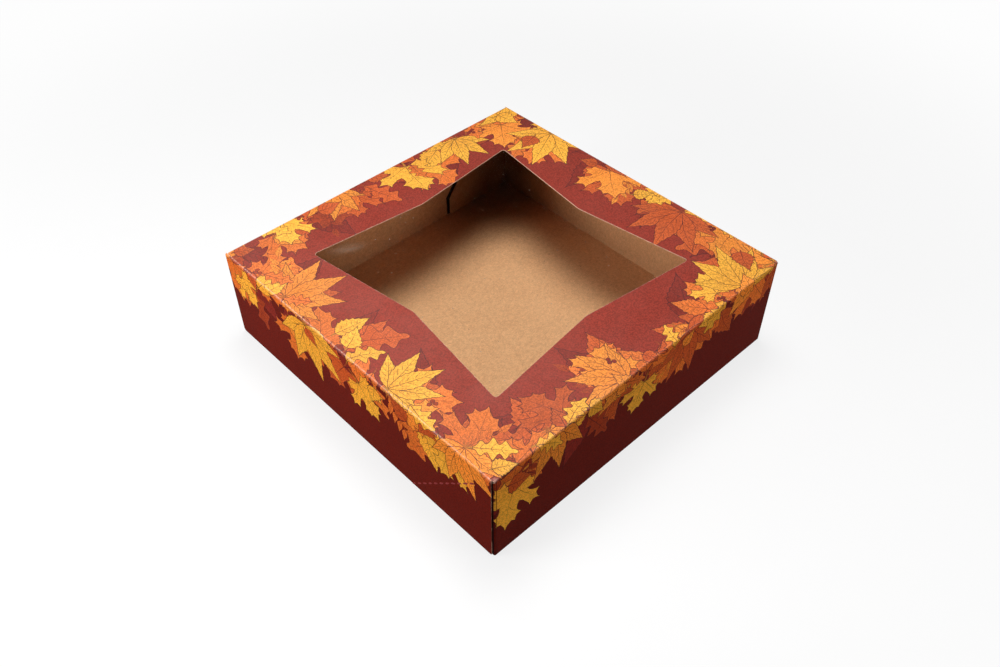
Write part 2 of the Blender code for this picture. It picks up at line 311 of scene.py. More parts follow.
MAPLE = maple()
OAK = oak()
BEECH = toothed(0.235, 9, 0.07, 0.80, 0.25)
ELM = toothed(0.30, 8, 0.10, 0.72, 0.10)
CHESTNUT = toothed(0.175, 8, 0.06, 0.84, 0.20)
BIRCH = toothed(0.38, 7, 0.10, 0.60, 0.35)
ROWAN_LEAFLET = toothed(0.20, 6, 0.08, 0.85, 0.10)


class Drawing:
    """The shapes of a print in the order they are laid down, each with its ink, line, tone and leaf frame.
    A leaf frame is the foot, the size and the way from foot to tip, which turn gives as an angle."""

    def __init__(self):
        self.shapes = []

    def lay(self, outline, ink, line, tone, place):
        if signed_area(outline) < 0:
            outline = outline[::-1]
        self.shapes.append((outline, ink, line, tone, place))

    def leaf(self, kind, foot, size, turn, ink, tone, pen=0.44):
        """One leaf with its dark outline, its veins and its stalk, a little bent to one side."""
        outline, veins, stalk = kind
        ahead = (math.cos(turn), math.sin(turn))
        bend = 0.44 * (math.modf(tone * 7.3)[0] - 0.5)
        place = (foot, size, ahead)

        def put_down(points):
            drawn = []
            for x, y in points:
                x += bend * y * y
                along, aside = x * ahead[1] + y * ahead[0], -x * ahead[0] + y * ahead[1]
                drawn.append((foot[0] + size * along, foot[1] + size * aside))
            return drawn

        edge = put_down(outline)
        if signed_area(edge) < 0:
            edge.reverse()
        self.lay(stroke(put_down(stalk), pen * 3.0), ink, 0.55, tone, place)
        self.lay(edge, ink, 1.0, tone, place)
        blade = inset(edge, pen * 0.75)
        if blade:
            self.lay(blade, ink, 0.0, tone, place)
        for index, vein in enumerate(veins):
            self.lay(stroke(put_down(vein), pen * (0.75 if index else 1.15)), ink, 0.82, tone, place)

    def sprig(self, foot, size, turn, ink, tone):
        """A stem with small leaves in four pairs and one at its end."""
        ahead = Vector((math.cos(turn), math.sin(turn)))
        across = Vector((-ahead.y, ahead.x))

        def on_stem(t):
            return tuple(Vector(foot) + ahead * size * t + across * size * 0.10 * t * t)

        stem = stroke([on_stem(t) for t in (0, 0.35, 0.7, 1.0)], 0.9)
        self.lay(stem, ink, 0.5, tone, (foot, size, tuple(ahead)))
        for pair in range(4):
            t = 0.22 + 0.70 * pair / 4
            length = size * (0.36 - 0.05 * t)
            for side in (-1, 1):
                self.leaf(ROWAN_LEAFLET, on_stem(t), length, turn + side * 0.95, ink, tone, 0.24)
        self.leaf(ROWAN_LEAFLET, on_stem(1.0), size * 0.36, turn + 0.15, ink, tone, 0.24)

    def fan(self, foot, size, turn, ink, tone):
        """Five leaves of unlike length that open from one point like a hand, the outer ones below."""
        for share in (-0.5, 0.5, -0.25, 0.25, 0.0):
            self.leaf(CHESTNUT, foot, size * (1.0 - 0.85 * share * share), turn + 2.45 * share, ink, tone)

    def berries(self, foot, _, turn, ink, tone):
        """Three round berries, all of one size."""
        for along, aside in ((2.2, -1.2), (3.6, 1.0), (5.4, -0.4)):
            x = foot[0] + along * math.cos(turn) - aside * math.sin(turn)
            y = foot[1] + along * math.sin(turn) + aside * math.cos(turn)
            for radius, line in ((1.35, 1.0), (1.08, 0.0)):
                angles = [step * math.pi / 6 for step in range(12)]
                ring = [(x + radius * math.cos(angle), y + radius * math.sin(angle)) for angle in angles]
                self.lay(ring, ink, line, tone, ((x, y), 3.0, (1.0, 0.0)))


EDGE_MIDDLE = COVER_SIDE + FOLD_LENGTH / 2 - FOLD_RADIUS


def along_border(distance):
    """The point on the folds round the top at this distance, and the way from there towards the window."""
    side, rest = divmod(distance, 2 * EDGE_MIDDLE)
    run = rest - EDGE_MIDDLE
    return [
        ((run, -EDGE_MIDDLE), math.pi / 2),
        ((EDGE_MIDDLE, run), math.pi),
        ((-run, EDGE_MIDDLE), -math.pi / 2),
        ((-EDGE_MIDDLE, -run), 0.0),
    ][int(side) % 4]


def draw_leaf_border():
    """A garland of autumn leaves that runs along the four folds of the top, half of it on the skirts."""
    rng = random.Random(LEAF_SEED)
    drawing = Drawing()
    around = 8 * EDGE_MIDDLE

    def leaf(kind):
        return lambda *where: drawing.leaf(kind, *where)

    # Dark leaves that hardly show, then the deep reds, then the bright ones on top. Each row gives how many,
    # how far they stray from the fold and lean from square to it, their least and greatest size, and inks.
    for draw, count, sway, lean, sizes, inks in (
        (leaf(BEECH), 34, 6.0, 0.9, (32, 44), "ghost"),
        (leaf(ELM), 34, 7.0, 1.0, (27, 36), "rust ember"),
        (leaf(OAK), 34, 8.0, 1.1, (29, 38), "rust ember orange"),
        (leaf(MAPLE), 30, 8.0, 0.9, (30, 39), "ember orange orange"),
        (drawing.sprig, 14, 6.0, 0.9, (24, 31), "amber rust orange"),
        (leaf(ELM), 30, 10.0, 1.2, (20, 30), "orange amber yellow"),
        (leaf(MAPLE), 19, 9.0, 0.9, (24, 40), "amber yellow yellow"),
        (drawing.fan, 17, 7.0, 0.7, (30, 41), "yellow amber ember yellow"),
        (leaf(BIRCH), 34, 13.0, 1.4, (12, 18), "yellow amber ember"),
        (leaf(OAK), 22, 12.0, 1.4, (16, 24), "yellow yellow orange"),
        (drawing.berries, 12, 11.0, 1.5, None, "rust ghost"),
    ):
        for number in range(count):
            distance = around * (number + rng.uniform(0.15, 0.85)) / count
            (x, y), inward = along_border(distance % around)
            shift = rng.uniform(-sway, sway)
            foot = (x + shift * math.cos(inward), y + shift * math.sin(inward))
            turn = (inward if number % 2 else inward + math.pi) + rng.uniform(-lean, lean)
            tone = rng.random()
            size = rng.uniform(*sizes) if sizes else None
            names = inks.split()
            draw(foot, size, turn, INK_NAMES.index(names[rng.randrange(len(names))]), tone)
    return drawing.shapes


def on_back_wall(shapes):
    """The part of the border that lies on the back wall, in the tray's drawing."""
    moved = []
    for outline, ink, line, tone, (foot, size, ahead) in shapes:
        if max(y for x, y in outline) >= CREASE_END:
            turned = [(x, BACK_WALL_TURN - y) for x, y in reversed(outline)]
            place = ((foot[0], BACK_WALL_TURN - foot[1]), size, (ahead[0], -ahead[1]))
            moved.append((turned, ink, line, tone, place))
    return moved


def near(shapes, low, high):
    """The shapes whose box reaches into the box from low to high."""

    def overlaps(outline, axis):
        values = [point[axis] for point in outline]
        return min(values) < high[axis] and max(values) > low[axis]

    return [shape for shape in shapes if overlaps(shape[0], 0) and overlaps(shape[0], 1)]


# Board

Crease = namedtuple("Crease", "name at across run turns wear beside", defaults=(0.0, (-0.35,)))
# A fold: a point on it, the way across it, how far its cut runs, which points of the blank turn with it, how
# worn its ridge is and how strong the painted highlight on that ridge is, and where the cuts beside it lie
# that bound its worn, highlighted band or the painted shade by the cover's open corner.
Crease.__doc__ = """A fold: a point on it, the way across it, how far its cut runs, which points of the blank
turn with it, how worn its ridge is, and where the cuts beside it lie that bound its worn or dark ink."""


def cut_sheet(outlines, lines, shapes=()):
    """Triangles that fill the first outline less the others, cut along lines and shapes. Each has the
    number of the shape on top there, or -1. The last result tells what became of each point given."""
    points, edges, faces = [], [], []

    def add(loop):
        first = len(points)
        points.extend(Vector(p) for p in loop)
        return list(range(first, len(points)))

    for loop in list(outlines) + [shape[0] for shape in shapes]:
        faces.append(add(loop))
    for line in lines:
        edges.append(add(line))
    corners, _, triangles, given, _, owners = delaunay_2d_cdt(points, edges, faces, 0, 1e-4, True)
    holes = set(range(1, len(outlines)))
    kept, tops = [], []
    for triangle, owner in zip(triangles, owners):
        if 0 in owner and not holes.intersection(owner):
            kept.append(list(triangle))
            tops.append(max(-1, max(owner) - len(outlines)))
    became = {old: new for new, olds in enumerate(given) for old in olds}
    return [tuple(c) for c in corners], kept, tops, became


def rim_loops(triangles):
    """The closed chains of edges that only one triangle has."""
    owned = [edge for triangle in triangles for edge in pairs(triangle)]
    known = set(owned)
    following = {a: b for a, b in owned if (b, a) not in known}
    loops = []
    while following:
        start, here = following.popitem()
        loop = [start]
        while here != start:
            loop.append(here)
            here = following.pop(here)
        loops.append(loop)
    return loops


def fold_lines(crease):
    """The cuts that let the board roll round a crease, and those beside it."""
    (x, y), (across_x, across_y), (low, high) = crease.at, crease.across, crease.run
    lines = []
    for step in [*crease.beside, *[FOLD_LENGTH * s / FOLD_STEPS for s in range(FOLD_STEPS + 1)]]:
        if across_x:
            lines.append(((x + across_x * step, low), (x + across_x * step, high)))
        else:
            lines.append(((low, y + across_y * step), (high, y + across_y * step)))
    return lines


def wear_and_highlight_at(x, y, creases, corner):
    """How worn the print is: most on the upper ridge of a fold and at the corners of the top."""
    worn_and_lit = 0.0
    for crease in creases:
        across_x, across_y = crease.across
        beyond = (x - crease.at[0]) * across_x + (y - crease.at[1]) * across_y
        if crease.turns(x + across_x, y + across_y):
            worn_and_lit = max(worn_and_lit, crease.wear * (1.0 - abs(beyond - 0.26) / 0.50))
    if corner:
        worn_and_lit = max(worn_and_lit, 1.3 - math.hypot(abs(x) - corner, abs(y) - corner) / 1.2)
    return worn_and_lit


def blank_mesh(name, outlines, creases, shapes, outward, paints_corner_light):
    """The flat board as a closed mesh, printed on the side that outward gives, with what its folds and
    its print need kept as attributes."""
    lines = [line for crease in creases for line in fold_lines(crease)]
    lips = [edge for hole in outlines[1:] for edge in pairs(inset(hole, -WINDOW_LIP))]
    corners, triangles, tops, _ = cut_sheet(outlines, lines + lips, shapes)
    loops = rim_loops(triangles)
    used = sorted({corner for triangle in triangles for corner in triangle})
    number = {corner: i for i, corner in enumerate(used)}
    flat = [corners[corner] for corner in used]

    # The bare side has the same rim, so that the edge closes, and none of the print's cuts
    loops.sort(key=lambda loop: -abs(signed_area([corners[c] for c in loop])))
    ccw_loops = [loops[0]] + [loop[::-1] for loop in loops[1:]]
    back_loops = [[corners[c] for c in loop] for loop in ccw_loops]
    back_corners, back_triangles, _, became = cut_sheet(back_loops, lines)

    places = [(x, y, 0.0) for x, y in flat]
    behind = {}
    for corner in sorted({c for triangle in back_triangles for c in triangle}):
        behind[corner] = len(places)
        places.append((*back_corners[corner], -BOARD * outward))
    rim_back = {}
    for order, corner in enumerate(corner for loop in ccw_loops for corner in loop):
        rim_back[number[corner]] = behind[became[order]]

    faces, looks, leaf_uv = [], [], []

    def add_face(face, flipped, side, ink=0.0, line=0.0, tone=0.5, uvs=None):
        uvs = uvs or [(0.5, 0.5)] * len(face)
        faces.append(face[::-1] if flipped else face)
        leaf_uv.extend(uvs[::-1] if flipped else uvs)
        looks.append((float(ink), line, tone, float(side)))

    for triangle, top in zip(triangles, tops):
        # In the open corner, the flap's roll and a line before its fold take the dark pen ink as painted
        # shade of the seam
        face = [number[c] for c in triangle]
        if paints_corner_light and sum(flat[i][1] for i in face) / 3 < SEAM_SHADE_TOP:
            middle = abs(sum(flat[i][0] for i in face) / 3)
            if middle > SEAM_SHADE_FROM or SEAM_SHADE_LINE[0] < middle - COVER_FLAP_FOLD < SEAM_SHADE_LINE[1]:
                add_face(face, False, 0, line=1.0 if middle > SEAM_SHADE_FROM else 0.45)
                continue
        if top < 0:
            add_face(face, outward < 0, 0)
            continue
        _, ink, line, tone, (foot, size, ahead) = shapes[top]
        uvs = []
        for index in face:
            dx, dy = flat[index][0] - foot[0], flat[index][1] - foot[1]
            uvs.append(((dx * ahead[1] - dy * ahead[0]) / size + 0.5, (dx * ahead[0] + dy * ahead[1]) / size))
        add_face(face, outward < 0, 0, ink, line, tone, uvs)
    for triangle in back_triangles:
        add_face([behind[c] for c in triangle], outward > 0, 1)
    for loop in loops:
        for a, b in pairs([number[c] for c in loop]):
            face = [b, a, rim_back[a], rim_back[b]]
            add_face(face if rim_back[a] != rim_back[b] else face[:3], outward < 0, 2)

    mesh = bpy.data.meshes.new(name)
    mesh.from_pydata([(x * MM, y * MM, z * MM) for x, y, z in places], [], faces)
    for title, values in zip(("ink", "line", "tone", "board_side"), zip(*looks)):
        mesh.attributes.new(title, "FLOAT", "FACE").data.foreach_set("value", values)
    worn_and_lit = [wear_and_highlight_at(x, y, creases, WORN_LIT_CORNER if paints_corner_light else 0.0) for x, y, z in places]
    # Round the window the print is worn pale at its cut edge, and the crack noise breaks it into painted
    # glints
    for loop in loops[1:]:
        for corner in loop:
            worn_and_lit[number[corner]] = 0.9
    mesh.attributes.new("wear", "FLOAT", "POINT").data.foreach_set("value", worn_and_lit)
    for crease in creases:
        turns = [crease.turns(x, y) for x, y, z in places]
        mesh.attributes.new(f"turns_{crease.name}", "BOOLEAN", "POINT").data.foreach_set("value", turns)
    mesh.uv_layers.new(name="leaf").data.foreach_set("uv", [value for uv in leaf_uv for value in uv])
    return mesh


# Node trees


def operator(operation):
    """What a Python operator does to a value: it adds a math node."""
    return lambda value, *others: calc(operation, value, *others)


class Value:
    """An output of a node, which is reckoned with like a number. An index gives the node's other outputs."""

    def __init__(self, node, output=0):
        self.node = node
        self.socket = node.outputs[output] if node.outputs else None

    def __getitem__(self, output):
        return Value(self.node, output)

    __add__ = operator("ADD")
    __sub__ = operator("SUBTRACT")
    __mul__ = operator("MULTIPLY")
    __truediv__ = operator("DIVIDE")
    __pow__ = operator("POWER")
    __gt__ = operator("GREATER_THAN")
    __lt__ = operator("LESS_THAN")
    __abs__ = operator("ABSOLUTE")


def put(tree, kind, values=None, **settings):
    """A node with its settings. Its values are numbers, or other nodes' values, which are linked."""
    node = tree.nodes.new(kind)
    for name, value in settings.items():
        setattr(node, name, value)
    for socket, value in (values or {}).items():
        if isinstance(value, Value):
            tree.links.new(value.socket, node.inputs[socket])
        else:
            node.inputs[socket].default_value = value
    return Value(node)


def tree_of(*values):
    """The node tree that the first value among these belongs to."""
    return next(value.node.id_data for value in values if isinstance(value, Value))


def calc(operation, *values):
    return put(tree_of(*values), "ShaderNodeMath", dict(enumerate(values)), operation=operation)


def vector_calc(operation, *values):
    inputs = {0: values[0], 3: values[1]} if operation == "SCALE" else dict(enumerate(values))
    result = put(tree_of(*values), "ShaderNodeVectorMath", inputs, operation=operation)
    return result["Value" if operation in ("DOT_PRODUCT", "LENGTH") else "Vector"]


def named(tree, name, kind):
    return put(tree, "GeometryNodeInputNamedAttribute", {"Name": name}, data_type=kind)


def new_geometry_tree(name, inputs, output):
    """A tree with these inputs, each a title, a kind and its value here, and one output of geometry."""
    tree = bpy.data.node_groups.new(name, "GeometryNodeTree")
    sizes = {}
    for title, kind, value in inputs:
        socket = tree.interface.new_socket(title, in_out="INPUT", socket_type=f"NodeSocket{kind}")
        if value is not None:
            sizes[socket.identifier] = value
    tree.interface.new_socket(output, in_out="OUTPUT", socket_type="NodeSocketGeometry")
    return tree, put(tree, "NodeGroupInput"), sizes


def store_facing(board, facing, **selection):
    """The board with the printed side's direction kept on its points."""
    values = {"Geometry": board, "Name": "facing", "Value": facing, **selection}
    kind = "GeometryNodeStoreNamedAttribute"
    return put(tree_of(board), kind, values, data_type="FLOAT_VECTOR", domain="POINT")


def make_crease_group():
    """A node group that rolls the board beyond one crease round the fold's radius."""
    inputs = [("Board", "Geometry", None), ("Turns", "Bool", None)]
    inputs += [(title, "Vector", None) for title in ("Crease", "Across", "Outward")]
    inputs += [(title, "Float", None) for title in ("Fold radius", "Fold angle")]
    tree, given, _ = new_geometry_tree("turn_round_crease", inputs, "Board")
    across, outward, radius = given["Across"], given["Outward"], given["Fold radius"]
    place = put(tree, "GeometryNodeInputPosition")

    def steps(by_across, by_outward):
        first, second = vector_calc("SCALE", across, by_across), vector_calc("SCALE", outward, by_outward)
        return vector_calc("ADD", first, second)

    # How far the point lies beyond the crease and above the printed side, and where the roll takes it
    beyond = vector_calc("DOT_PRODUCT", vector_calc("SUBTRACT", place, given["Crease"]), across)
    height = vector_calc("DOT_PRODUCT", place, outward)
    ahead = calc("MAXIMUM", beyond, 0.0)
    angle = calc("MINIMUM", ahead / radius, given["Fold angle"])
    straight = ahead - angle * radius
    sine, cosine = calc("SINE", angle), calc("COSINE", angle)
    reach = radius + height
    out = reach * sine + straight * cosine
    up = reach * cosine - radius - straight * sine
    move = steps(out - ahead, up - height)

    # The printed side's direction turns with the board
    facing = named(tree, "facing", "FLOAT_VECTOR")
    facing_across = vector_calc("DOT_PRODUCT", facing, across)
    facing_out = vector_calc("DOT_PRODUCT", facing, outward)
    less = cosine - 1.0
    gain = steps(facing_across * less + facing_out * sine, facing_out * less - facing_across * sine)
    turned = vector_calc("ADD", facing, gain)
    kept = store_facing(given["Board"], turned, Selection=given["Turns"])
    values = {"Geometry": kept, "Selection": given["Turns"], "Offset": move}
    put(tree, "NodeGroupOutput", {"Board": put(tree, "GeometryNodeSetPosition", values)})
    return tree


def make_blank_tree(name, creases, outward, materials):
    """The tree that folds a whole blank up, crease by crease, and gives its sides their finishes."""
    inputs = [("Board", "Geometry", None), ("Fold radius", "Float", FOLD_RADIUS * MM)]
    inputs.append(("Fold angle", "Float", math.pi / 2))
    for crease in creases:
        inputs.append((f"{crease.name} crease", "Vector", (crease.at[0] * MM, crease.at[1] * MM, 0.0)))
    tree, given, sizes = new_geometry_tree(name, inputs, "Board")
    up = (0.0, 0.0, float(outward))
    board = store_facing(given["Board"], up)
    for crease in creases:
        turns = named(tree, f"turns_{crease.name}", "BOOLEAN")
        values = {"Board": board, "Turns": turns, "Across": (*crease.across, 0.0), "Outward": up}
        values["Crease"] = given[f"{crease.name} crease"]
        values.update({title: given[title] for title in ("Fold radius", "Fold angle")})
        board = put(tree, "GeometryNodeGroup", values, node_tree=CREASE_GROUP)
    board = put(tree, "GeometryNodeRealizeInstances", {"Geometry": board})
    side = named(tree, "board_side", "FLOAT")
    for number, material in enumerate(materials):
        values = {"Geometry": board, "Selection": calc("COMPARE", side, float(number), 0.1)}
        board = put(tree, "GeometryNodeSetMaterial", {**values, "Material": material})
    put(tree, "NodeGroupOutput", {"Board": board})
    return tree, sizes


def add_object(name, data):
    """A new object in the scene."""
    piece = bpy.data.objects.new(name, data)
    bpy.context.scene.collection.objects.link(piece)
    return piece


def evaluated_piece(name, mesh, tree, sizes):
    """The plain mesh that a tree makes from mesh, with the tree's sizes set on its modifier."""
    raw = add_object(f"{name}_flat", mesh)
    modifier = raw.modifiers.new("made", "NODES")
    modifier.node_group = tree
    for identifier, value in sizes.items():
        modifier[identifier] = value
    bpy.context.view_layer.update()
    made = bpy.data.meshes.new_from_object(raw.evaluated_get(bpy.context.evaluated_depsgraph_get()))
    bpy.data.objects.remove(raw, do_unlink=True)
    made.name = name
    return add_object(name, made)


def lay_normals(mesh):
    """Shades both sides of the board as the true roll, and its cut edge flat."""
    facing = [0.0] * (3 * len(mesh.vertices))
    mesh.attributes["facing"].data.foreach_get("vector", facing)
    side = [0.0] * len(mesh.polygons)
    mesh.attributes["board_side"].data.foreach_get("value", side)
    normals = []
    for polygon, where in zip(mesh.polygons, side):
        for vertex in polygon.vertices:
            normal = Vector(facing[3 * vertex : 3 * vertex + 3]).normalized()
            if where > 1.5:
                normal = polygon.normal.copy()
            elif where > 0.5:
                normal = -normal
            normals.append(normal)
    mesh.polygons.foreach_set("use_smooth", [True] * len(mesh.polygons))
    mesh.normals_split_custom_set(normals)


# Finishes


def new_material(name):
    """A material without nodes, and its tree."""
    material = bpy.data.materials.new(name)
    material.use_nodes = True
    material.node_tree.nodes.clear()
    return material, material.node_tree


def object_place(tree, scale=(1.0, 1.0, 1.0)):
    coordinates = put(tree, "ShaderNodeTexCoord")["Object"]
    return put(tree, "ShaderNodeMapping", {"Vector": coordinates, "Scale": scale})


def parts_of(vector):
    """The x, y and z of a vector."""
    parts = put(tree_of(vector), "ShaderNodeSeparateXYZ", {0: vector})
    return parts, parts[1], parts[2]


def noise(place, scale, detail=3.0, roughness=0.55):
    values = {"Vector": place, "Scale": scale, "Detail": detail, "Roughness": roughness}
    return put(tree_of(place), "ShaderNodeTexNoise", values)


def spread(value, low, high, to_low=0.0, to_high=1.0, way="SMOOTHSTEP"):
    """The value carried from one range over to another, and held at its ends."""
    values = {"Value": value, "From Min": low, "From Max": high, "To Min": to_low, "To Max": to_high}
    return put(tree_of(value), "ShaderNodeMapRange", values, interpolation_type=way)


def mix(share, first, second, blend="MIX"):
    """Two colours, values or three numbers each, mixed by share."""
    first, second = [colour if isinstance(colour, Value) else (*colour, 1.0) for colour in (first, second)]
    values = {0: share, 6: first, 7: second}
    return put(tree_of(share, first, second), "ShaderNodeMix", values, data_type="RGBA", blend_type=blend)[2]


def times(colour, factor):
    """A colour multiplied by another."""
    return mix(1.0, colour, factor, "MULTIPLY")


def grey(value):
    return put(tree_of(value), "ShaderNodeCombineColor", {0: value, 1: value, 2: value})


def blended(share, first, second):
    """One surface over another by share."""
    return put(tree_of(first), "ShaderNodeMixShader", {0: share, 1: first, 2: second})


def attribute(tree, name):
    return put(tree, "ShaderNodeAttribute", attribute_name=name)["Fac"]


def finish(surface):
    put(tree_of(surface), "ShaderNodeOutputMaterial", {"Surface": surface})


def board_surface(tree, colour, roughness, bump, depth):
    """The surface that all the board's faces share: fibrous and hardly glossy."""
    relief = put(tree, "ShaderNodeBump", {"Strength": 0.6, "Distance": depth, "Height": bump})
    values = {"Base Color": colour, "Roughness": roughness, "Specular IOR Level": 0.01, "Normal": relief}
    finish(put(tree, "ShaderNodeBsdfPrincipled", values))


def paper_grain(tree):
    """Places on the sheet, and three noises of it: its fine tooth, its fibres and its slow clouds."""
    place = object_place(tree)
    fibres = noise(object_place(tree, (1.0, 3.2, 1.0)), 520.0, 4.0, 0.65)
    return place, noise(place, 2200.0, 2.0), fibres, noise(place, 46.0, 3.0)


def make_print():
    """Burgundy flood coat with the leaf inks over it, on uncoated board."""
    material, tree = new_material("burgundy_leaf_print")
    place, tooth, fibres, clouds = paper_grain(tree)
    ink = attribute(tree, "ink")
    colour = put(tree, "ShaderNodeValToRGB", {"Fac": (ink + 0.5) / float(len(INKS))})
    ramp = colour.node.color_ramp
    ramp.interpolation = "CONSTANT"
    for number, shade in enumerate(INKS.values()):
        stop = ramp.elements[number] if number < 2 else ramp.elements.new(number / len(INKS))
        stop.position = number / len(INKS)
        stop.color = (*shade, 1.0)

    # A leaf is deeper at its foot, and each leaf has its own tone
    is_leaf = ink > 0.5
    foot = spread(parts_of(put(tree, "ShaderNodeUVMap", uv_map="leaf"))[1], 0.0, 0.75, 0.30, 0.0) * is_leaf
    colour = mix(foot, colour, times(colour, (0.95, 0.62, 0.45)))
    colour = times(colour, grey(spread(attribute(tree, "tone"), 0.0, 1.0, 0.90, 1.08)))

    # Pen lines are the same dark ink everywhere, thinner over the veins; in the cover's open corner the same
    # ink is painted shade of the seam
    colour = mix(attribute(tree, "line") * 0.97, colour, LINE_INK)

    # Ink sinks in unevenly, and the tooth of the sheet shows as fine pale specks
    uneven = spread(fibres, 0.25, 0.75, 0.90, 1.10) * spread(clouds, 0.3, 0.7, 0.96, 1.04)
    colour = times(colour, grey(uneven))
    colour = times(colour, grey(spread(noise(place, 1250.0, 2.0, 0.6), 0.30, 0.70, 0.70, 1.30)))
    specks = spread(tooth, 0.58, 0.76, 0.0, 0.06)
    colour = mix(specks, colour, (0.60, 0.24, 0.13))

    # The sides are painted darker than the top as shade, the leaves less so; the top has a painted pale
    # sheen, strongest towards its left edge
    x, y, z = parts_of(place)
    on_top = spread(z, 0.0615, 0.0632)
    painted_side_shade = mix(is_leaf, (0.48, 0.33, 0.26), (1.0, 0.90, 0.82))
    colour = times(colour, mix(on_top, painted_side_shade, (1.0, 1.0, 1.0)))
    painted_top_sheen = spread(x + y * 0.30, -0.09, 0.0, 0.092, 0.048)
    sheen_patches = spread(noise(place, 60.0, 4.0, 0.6), 0.3, 0.7, 0.85, 1.15)
    colour = mix(painted_top_sheen * sheen_patches * on_top, colour, (0.70, 0.41, 0.35))

    # Along a fold the ink has cracked and the board shows through, and the same pale mark is a painted
    # highlight on each fold's upper ridge and on the top's corners
    cracks_and_glints = spread(noise(place, 900.0, 4.0, 0.7), 0.42, 0.66, 0.15, 1.0)
    colour = mix(attribute(tree, "wear") * 0.80 * cracks_and_glints, colour, (0.84, 0.56, 0.46))

    roughness = spread(fibres, 0.2, 0.8, 0.50, 0.62) + specks * 0.6
    board_surface(tree, colour, roughness, tooth * 0.6 + fibres * 0.7, 0.00006)
    return material


def make_kraft():
    """Bare brown board: long fibres, pale and dark flecks, slow clouds."""
    material, tree = new_material("bare_kraft_board")
    place, tooth, fibres, clouds = paper_grain(tree)
    colour = mix(spread(fibres, 0.25, 0.78), (0.626, 0.344, 0.171), (0.764, 0.456, 0.240))
    colour = mix(spread(clouds, 0.35, 0.68, 0.0, 0.30), colour, (0.768, 0.460, 0.244))
    flecks = noise(object_place(tree, (1.0, 5.0, 1.0)), 420.0, 5.0, 0.75)
    colour = mix(spread(flecks, 0.64, 0.74, 0.0, 0.55), colour, (0.260, 0.135, 0.060))
    pale = noise(object_place(tree, (4.0, 1.0, 1.0)), 380.0, 5.0, 0.75)
    colour = mix(spread(pale, 0.66, 0.76, 0.0, 0.45), colour, (0.880, 0.660, 0.430))
    mottle = spread(noise(place, 420.0, 3.0, 0.6), 0.30, 0.70, 0.94, 1.06)
    speckle = spread(noise(place, 1300.0, 2.0, 0.6), 0.30, 0.70, 0.90, 1.10)
    colour = times(colour, grey(mottle * speckle))

    # Painted shade darkens the board in its four deep corners
    x, y, z = parts_of(place)
    painted_corner_shade = spread(abs(x), 0.012, 0.103) * spread(abs(y), 0.050, 0.103) * spread(clouds, 0.3, 0.7, 0.90, 1.00)
    colour = mix(painted_corner_shade, colour, times(colour, (0.21, 0.14, 0.10)))

    # A painted shadow darkens the back wall in the gap beside the flaps' lifted, slanted ends, below its top
    # crease
    heights = (TRAY_FLAP_SHOULDER * MM, RIM_HEIGHT * MM)
    length = spread(z, *heights, TRAY_FLAP_LENGTH * MM, TRAY_FLAP_TOP_LENGTH * MM, "LINEAR")
    ragged = (noise(place, 150.0, 3.0) - 0.5) * 0.0012
    under = abs(x) - TRAY_SIDE_FOLD * MM + length + ragged
    painted_gap_shadow = spread(under, -0.0003, 0.0002) * spread(under, 0.004, 0.006, 1.0, 0.0)
    on_wall = (y > (TRAY_BACK - BOARD - 0.15) * MM) * (z < (CREASE_FOOT - 0.1) * MM)
    colour = mix(painted_gap_shadow * on_wall, colour, (0.030, 0.014, 0.008))
    board_surface(tree, colour, spread(fibres, 0.2, 0.8, 0.72, 0.88), tooth * 0.5 + fibres, 0.00010)
    return material


def make_raw_edge():
    """The cut edge: pale, a little fuzzy, with the layers of the board, and inked below the top."""
    material, tree = new_material("cut_board_edge")
    place = object_place(tree)
    tooth = noise(place, 3000.0, 3.0)
    strands = noise(object_place(tree, (1.0, 1.0, 6.0)), 700.0, 4.0, 0.7)
    colour = mix(spread(strands, 0.3, 0.7), (0.560, 0.300, 0.190), (0.780, 0.520, 0.380))
    colour = mix(spread(tooth, 0.52, 0.72, 0.0, 0.6), colour, (0.920, 0.700, 0.560))
    # Below the top the edge is painted dark as shade, broken by noise
    edge_shade_breaks = spread(noise(place, 90.0, 3.0, 0.7), 0.42, 0.62, 0.9, 0.25)
    painted_edge_shade = spread(parts_of(place)[2], 0.060, 0.0635, 1.0, 0.0) * edge_shade_breaks
    colour = mix(painted_edge_shade, colour, (0.120, 0.040, 0.025))
    board_surface(tree, colour, spread(strands, 0.2, 0.8, 0.80, 0.92), strands, 0.00008)
    return material


def make_crease_ridge():
    """The bruised, redder board along a perforated crease."""
    material, tree = new_material("perforated_crease")
    tooth = noise(object_place(tree), 2400.0, 3.0)
    colour = mix(spread(tooth, 0.35, 0.70), (0.200, 0.026, 0.026), (0.350, 0.066, 0.062))
    board_surface(tree, colour, spread(tooth, 0.2, 0.8, 0.60, 0.80), tooth, 0.00004)
    return material


